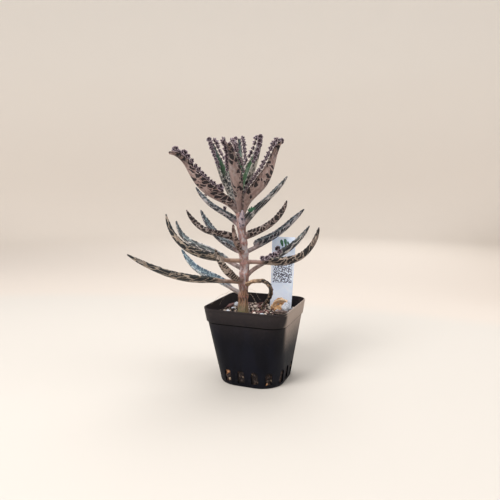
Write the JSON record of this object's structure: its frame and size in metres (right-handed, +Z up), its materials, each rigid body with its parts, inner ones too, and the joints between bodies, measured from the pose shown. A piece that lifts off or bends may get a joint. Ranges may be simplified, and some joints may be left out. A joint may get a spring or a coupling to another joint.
{
  "type": "potted mother of thousands",
  "caption": "Small square black nursery pot with one upright succulent stem, long folded spotted leaves, rows of tiny plantlets on the top leaves, and a blank plant label.",
  "frame": {"origin": "middle of the pot's flat underside, on the surface that it stands on", "axes": "+Z up along the pot's axis, X and Y square to the pot's sides"},
  "size_m": [0.1351, 0.0975, 0.182],
  "materials": {
    "pot": "matte black moulded plastic",
    "potting_mix": "bark and grit potting mix",
    "stem": "waxy pinkish stem",
    "leaf": "waxy mottled leaf",
    "broad_leaf": "waxy spotted leaf with plantlets",
    "wilted_leaf": "shrivelled leaf",
    "dry_leaf": "dry papery leaf",
    "label": "satin white plastic",
    "pumice": "rough pumice",
    "bark": "rough bark"
  },
  "bodies": {
    "root": {"pot": "pot", "potting_mix": "potting_mix", "stem": "stem", "leaf_01": "leaf", "leaf_02": "leaf", "leaf_03": "leaf", "leaf_04": "leaf", "leaf_05": "leaf", "leaf_06": "leaf", "leaf_07": "leaf", "leaf_08": "leaf", "leaf_09": "leaf", "leaf_10": "leaf", "leaf_11": "leaf", "leaf_12": "leaf", "leaf_13": "leaf", "leaf_14": "leaf", "leaf_15": "leaf", "leaf_16": "broad_leaf", "leaf_17": "broad_leaf", "leaf_18": "broad_leaf", "leaf_19": "broad_leaf", "leaf_20": "broad_leaf", "leaf_21": "broad_leaf", "wilted_leaf": "wilted_leaf", "dry_leaf": "dry_leaf", "plant_label": "label", "pumice_1": "pumice", "pumice_2": "pumice", "pumice_3": "pumice", "bark_chip_1": "bark", "bark_chip_2": "bark", "bark_chip_3": "bark"}
  },
  "joints": []
}
